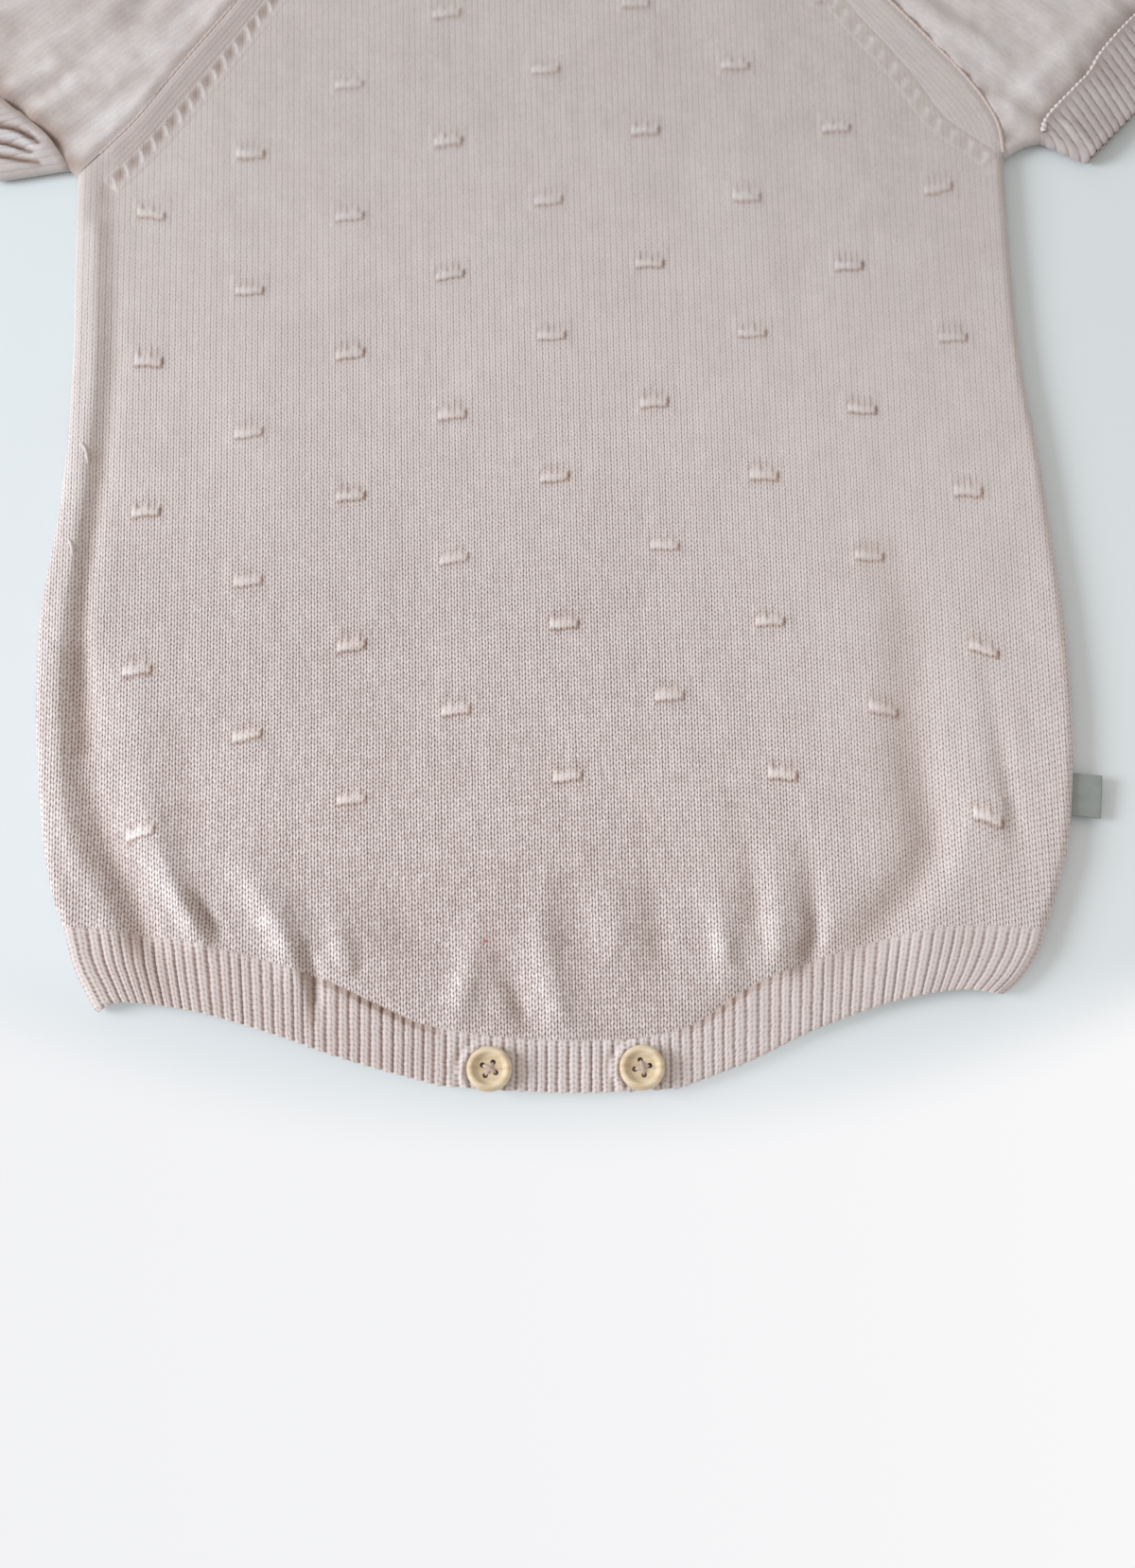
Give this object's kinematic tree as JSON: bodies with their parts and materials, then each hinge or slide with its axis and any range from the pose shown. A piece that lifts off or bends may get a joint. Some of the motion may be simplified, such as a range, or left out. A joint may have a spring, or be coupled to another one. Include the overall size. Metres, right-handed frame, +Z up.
{
  "type": "knitted baby bodysuit",
  "caption": "Knitted short-sleeved baby bodysuit laid flat, front up, with ribbed cuffs, neckband, leg and crotch bands, wooden buttons at the crotch and a bare side label.",
  "frame": {"origin": "middle of the garment's footprint, on the surface that it lies on", "axes": "+X towards the side that carries the label, +Y towards the neck, +Z up, out of the front"},
  "size_m": [0.45, 0.4136, 0.0072],
  "materials": {
    "jersey": "heathered oatmeal cotton jersey, fine gauge",
    "rib": "heathered oatmeal cotton rib, one by one",
    "wood": "pale turned wood, satin",
    "label": "grey-green woven tape, bare"
  },
  "bodies": {
    "root": {"front_panel": "jersey", "back_panel": "jersey", "sleeve_left": "jersey", "sleeve_right": "jersey", "cuff_left": "rib", "cuff_right": "rib", "neckband": "rib", "leg_band_left": "rib", "leg_band_right": "rib", "crotch_band_front": "rib", "crotch_band_back": "rib", "button_left": "wood", "button_right": "wood", "side_label": "label"}
  },
  "joints": []
}
